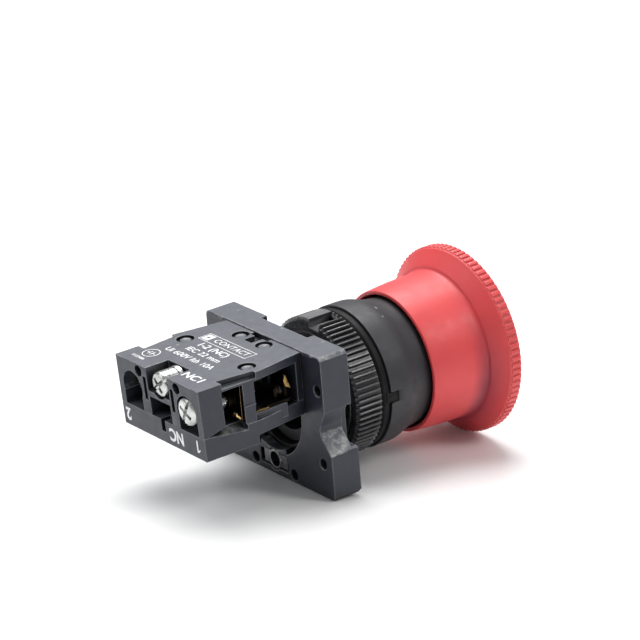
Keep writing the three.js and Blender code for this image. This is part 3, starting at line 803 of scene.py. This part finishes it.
def pan_screw(name, face, head, shank, length, spot, turn):
    """A cross and slot head, turned by the given degrees, with a threaded shank towards -Y from y = face.
    The head is (radius, height), the shank a radius, and the length runs from under the head."""
    radius, height = head
    under = face - height
    profile = [(0, face), (radius * 0.45, face - 0.02), (radius * 0.7, face - 0.1),
               (radius * 0.88, face - 0.3), (radius * 0.97, face - 0.6), (radius, face - 0.95)]
    profile += filleted([(radius, face - 0.95, 0), (radius, under, 0.15), (shank, under, 0.08),
                         (shank, under - SCREW_NECK, 0)])[1:]
    rows = int((length - 1.0) / SCREW_STEP)
    profile += [(shank, under - SCREW_NECK - SCREW_STEP * k) for k in range(1, rows)]
    profile += [(shank * 0.8, under - length + 0.15), (shank * 0.6, under - length), (0, under - length)]

    def thread(r, y, angle):
        if r != shank or y > under - 0.45:
            return r
        groove = 1 - trapezoid(y / SCREW_PITCH + angle / (2 * math.pi), 0.4, 0.1)
        return r - SCREW_THREAD_DEPTH * groove

    screw = turned(name, profile, 72, thread, smooth=28)
    tools = cross_recess(face, radius * 0.62, CROSS_DEPTH)
    tools.append(block(-radius - 0.5, radius + 0.5, face - SLOT_DEPTH, face + 1, -SLOT_HALF, SLOT_HALF))
    carve(screw, tools)
    softened(screw, SCREW_EDGE, segments=1, angle=50, smooth=28)
    place_at = Matrix.Translation(Vector(spot) * MM) @ Matrix.Rotation(math.radians(turn), 4, "Y")
    screw.data.transform(place_at)
    return screw


def washer(name, inner, outer, y0, y1, x, z):
    """A flat ring from y0 to y1 around an axis through x and z."""
    profile = filleted([(inner, y0, 0.08), (outer, y0, 0.15), (outer, y1, 0.15), (inner, y1, 0.08)])
    ring = turned(name, profile, 72)
    ring.data.transform(Matrix.Translation(Vector((x, 0, z)) * MM))
    return ring


def screws():
    """Terminal screw 1 stands out of its well, terminal screw 2 is driven in, each on its clamp washer."""
    for number, side, face, turn in ((1, -1, 44.8, 62), (2, 1, 41.8, 25)):
        x = TERMINAL_X * side
        screw = pan_screw(f"terminal_screw_{number}_detail", face, TERMINAL_HEAD, TERMINAL_SHANK,
                          TERMINAL_LENGTH, (x, 0, TERMINAL_Z), turn)
        place(leaned(screw), "nickel", f"screw_{number}", [f"terminal_screw_{number}"])
        clamp = face - TERMINAL_HEAD[1] - CLAMP_GAP
        ring = washer(f"clamp_{number}", CLAMP_INNER, CLAMP_OUTER, clamp - CLAMP_THICKNESS, clamp,
                      x, TERMINAL_Z)
        place(leaned(ring), "nickel", f"clamp_{number}", [f"clamp_washer_{number}"])
    fixing = pan_screw("fixing_screw_detail", 44.3, FIXING_HEAD, FIXING_SHANK, FIXING_LENGTH,
                       (0, 0, FIXING_Z), 38)
    place(leaned(fixing), "nickel", "fixing_screw", ["block_screw"])
    ring = washer("fixing_washer_detail", 1.8, 2.75, 39.1, 40.1, 0, FIXING_Z)
    place(leaned(ring), "nickel", "fixing_washer", ["block_screw_washer"])


# ---------------------------------------------------------------- legends
# A capital's height as a share of the font's size, half the lettering's thickness, and the lower and upper
# faces of other print.
CAP_HEIGHT = 0.72
LETTER_HALF = 0.012
PRINT_LIFTS = (-0.01, 0.012)


def lettering(name, words, height, centre, right, up, stretch=1.0, bold=0.0):
    """Generic words printed on a face: centre in mm, right and up are the reading directions."""
    curve = bpy.data.curves.new(name, "FONT")
    curve.body = words
    curve.size = height / CAP_HEIGHT
    curve.align_x = "CENTER"
    curve.align_y = "CENTER"
    curve.offset = bold
    curve.extrude = LETTER_HALF
    text = bpy.data.objects.new(name, curve)
    SCENE.collection.objects.link(text)
    graph = bpy.context.evaluated_depsgraph_get()
    mesh = bpy.data.meshes.new_from_object(text.evaluated_get(graph))
    bpy.data.objects.remove(text)
    across, along = Vector(right).normalized(), Vector(up).normalized()
    out = across.cross(along)
    turn = Matrix((across * stretch, along, out)).transposed().to_4x4()
    mesh.transform(Matrix.Translation(Vector(centre) * MM) @ turn @ Matrix.Scale(MM, 4))
    made = bpy.data.objects.new(name, mesh)
    SCENE.collection.objects.link(made)
    return place(made, "white_plastic", "operator", paint=INK)


def printed(name, outlines, origin, right, up):
    """Thin raised print. Each outline is (outer points, inner points or None), in mm as it is read."""
    across, along = Vector(right), Vector(up)
    out = across.cross(along)
    bm = bmesh.new()

    def vertex(point, lift):
        return bm.verts.new((Vector(origin) + across * point[0] + along * point[1] + out * lift) * MM)

    for outer, inner in outlines:
        low, high = [[vertex(point, lift) for point in outer] for lift in PRINT_LIFTS]
        pairs = [(low, high)]
        if inner:
            inner_low, inner_high = [[vertex(point, lift) for point in inner] for lift in PRINT_LIFTS]
            pairs += [(high, inner_high), (inner_high, inner_low), (inner_low, low)]
        for one, two in pairs:
            for k in range(len(outer)):
                n = (k + 1) % len(outer)
                bm.faces.new((one[k], one[n], two[n], two[k]))
        if not inner:
            bm.faces.new(low)
            bm.faces.new(high)
    return place(object_of(name, bm), "white_plastic", "operator", paint=INK)


def circle(x, y, radius, count=48):
    angles = [2 * math.pi * k / count for k in range(count)]
    return [(x + radius * math.cos(angle), y + radius * math.sin(angle)) for angle in angles]


def rectangle(x0, x1, y0, y1):
    return [(x0, y0), (x1, y0), (x1, y1), (x0, y1)]


def legends():
    """The print: the cover's reads from behind, the rear face's upside down."""
    clear = 0.002
    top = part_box("block_cover")[1].z / MM + clear
    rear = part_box("block_base")[1].y / MM + clear
    left, back, down = (-1, 0, 0), (0, -1, 0), (0, 0, -1)
    origin = (0, 0, top)
    frame_box = [(rectangle(-8.9, 7.1, -28.95, -25.75), rectangle(-8.75, 6.95, -28.8, -25.9)),
                 (rectangle(-8.45, -6.3, -28.5, -26.2), rectangle(-7.75, -7.0, -27.7, -27.0))]
    printed("maker_frame", frame_box, origin, left, back)
    lettering("legend_top", "CONTACT", 1.55, (-0.55, 27.35, top), left, back, 1.08)
    lettering("legend_line_1", "1-2 (NC)", 1.75, (1.2, 30.55, top), left, back, 1.1, 0.04)
    lettering("legend_line_2", "IEC 22 mm", 1.6, (0.7, 33.3, top), left, back, 1.1, 0.02)
    lettering("legend_line_3", "Ui 600V Ith 10A", 1.6, (1.3, 36.2, top), left, back, 1.08, 0.02)
    lettering("legend_corner", "NC1", 2.1, (-7.7, 41.4, top), left, back, 1.15, 0.06)
    mark = [(circle(-9.3, -39.85, 1.9), circle(-9.3, -39.85, 1.7)),
            (rectangle(-10.5, -9.8, -39.95, -39.75), None),
            (rectangle(-8.8, -8.1, -39.95, -39.75), None),
            (rectangle(-9.8, -9.6, -40.6, -39.1), None),
            (rectangle(-9.0, -8.8, -40.6, -39.1), None)]
    printed("round_mark", mark, origin, left, back)
    lettering("legend_serial", "0123456", 0.75, (9.6, 42.75, top), left, back, 1.1, 0.02)
    right, mark_z = (1, 0, 0), 2.45
    for name, words, x in (("mark_nc", "NC", -4.4), ("mark_2", "2", 12.55)):
        leaned(lettering(name, words, 2.6, (x, rear, mark_z), right, down, 0.92, 0.13))
    one = [(rectangle(-0.23, 0.23, -1.3, 1.3), None),
           ([(-0.22, 1.3), (-0.22, 0.85), (-0.85, 0.4), (-0.85, 0.8)], None)]
    leaned(printed("mark_1", one, (-11.6, rear, mark_z), right, down))


# ---------------------------------------------------------------- carried-over nodes
def inner_pieces():
    """Every other node: the CAD shape with rounded edges and its slot's material, brass and nickel with
    painted shade on their faces. Both long springs get a mesh of their own.
    """
    edge_width = 0.08
    slots = {entry["node"]: entry["material_slot"] for entry in frame["record"]["subparts"]}
    moving = frame["record"]["behaviour"]["bodies"]
    bodies = {node: body for body, nodes in moving.items() for node in nodes}
    # Brass and nickel take finishes with painted shade on their faces and bright edges as painted glints.
    shaded_metals = {"brass": SHADED_BRASS, "nickel": SHADED_NICKEL}
    made = {}
    for name, node in frame["nodes"].items():
        if node.hide_render:
            continue
        piece = from_cad(name)
        if "spring" not in name or "latch" in name:
            softened(piece, edge_width)
        made[name] = place(piece, slots[name], bodies[name], [name], shaded_metals.get(slots[name]))
    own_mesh(made["return_spring"])
    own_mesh(made["plunger_spring"])


# ---------------------------------------------------------------- studio
# The part lies on the head's rim and the collar's corners, so the floor leans in the part's own frame.
FLOOR_NORMAL = Vector((0, -0.1054, 0.9944))
FLOOR_REST = Vector((0, -26.9, -20.0)) * MM
FLOOR_GAP, FLOOR_CELLS, FLOOR_SIZE = 0.00003, 8, 4
FLOOR_COLOUR = (0.92, 0.92, 0.92, 1)
KEY_POWER, SIDE_POWER = 8.0, 1.7
COOL_WHITE = (0.93, 0.96, 1.0)
# The white world's strength as a light, and as the camera sees it.
WORLD_LIGHT, WORLD_SEEN = 0.42, 1.1


def make_floor():
    bm = bmesh.new()
    bmesh.ops.create_grid(bm, x_segments=FLOOR_CELLS, y_segments=FLOOR_CELLS, size=FLOOR_SIZE)
    floor = object_of("floor", bm)
    turn = FLOOR_NORMAL.to_track_quat("Z", "Y").to_matrix().to_4x4()
    floor.matrix_world = Matrix.Translation(FLOOR_REST - FLOOR_NORMAL * FLOOR_GAP) @ turn
    paint, _, shader, _ = material("studio_floor")
    shader.inputs["Base Color"].default_value = FLOOR_COLOUR
    shader.inputs["Roughness"].default_value = 0.32
    shader.inputs["Specular IOR Level"].default_value = 0.35
    floor.data.materials.append(paint)


def studio(camera):
    """Three soft boxes around the part, in directions seen from the camera, and a white world."""
    towards = camera.matrix_world.translation.normalized()
    back = Vector((-towards.x, -towards.y, 0)).normalized()
    right = camera.matrix_world.to_3x3() @ Vector((1, 0, 0))
    left = -right
    up = FLOOR_NORMAL

    def softbox(name, direction, distance, size, power, colour=(1, 1, 1)):
        data = bpy.data.lights.new(name, "AREA")
        data.shape = "RECTANGLE"
        data.size, data.size_y = size
        data.energy = power
        data.color = colour
        lamp = bpy.data.objects.new(name, data)
        spot = direction.normalized() * distance
        lamp.location = spot
        lamp.rotation_mode = "QUATERNION"
        lamp.rotation_quaternion = spot.to_track_quat("Z", "Y")
        SCENE.collection.objects.link(lamp)

    softbox("key", up + back * 0.45 + left * 0.1, 0.8, (0.6, 0.6), KEY_POWER)
    softbox("right", right * 0.72 + up * 0.72 - back * 0.28, 0.8, (0.22, 0.3), SIDE_POWER)
    softbox("side", left + up * 0.75 - back * 0.2, 0.85, (0.5, 0.7), SIDE_POWER, COOL_WHITE)

    world = bpy.data.worlds.new("studio")
    world.use_nodes = True
    tree = world.node_tree
    background = tree.nodes["Background"]
    background.inputs["Color"].default_value = (1, 1, 1, 1)
    path = tree.nodes.new("ShaderNodeLightPath")
    strength = scaled(tree, path.outputs["Is Camera Ray"], WORLD_LIGHT, WORLD_SEEN)
    tree.links.new(strength, background.inputs["Strength"])
    SCENE.world = world
    SCENE.view_settings.view_transform = "Standard"


def build():
    camera = make_camera()
    mushroom_cap()
    for number in (1, 2, 3):
        turn_arrow(number, 120 * number)
    bezel()
    gasket()
    ring_nut()
    collar()
    housing("block_base")
    housing("block_cover", JOINT_LINES)
    staked_pins()
    contact_metal()
    screws()
    legends()
    inner_pieces()
    make_floor()
    studio(camera)


build()
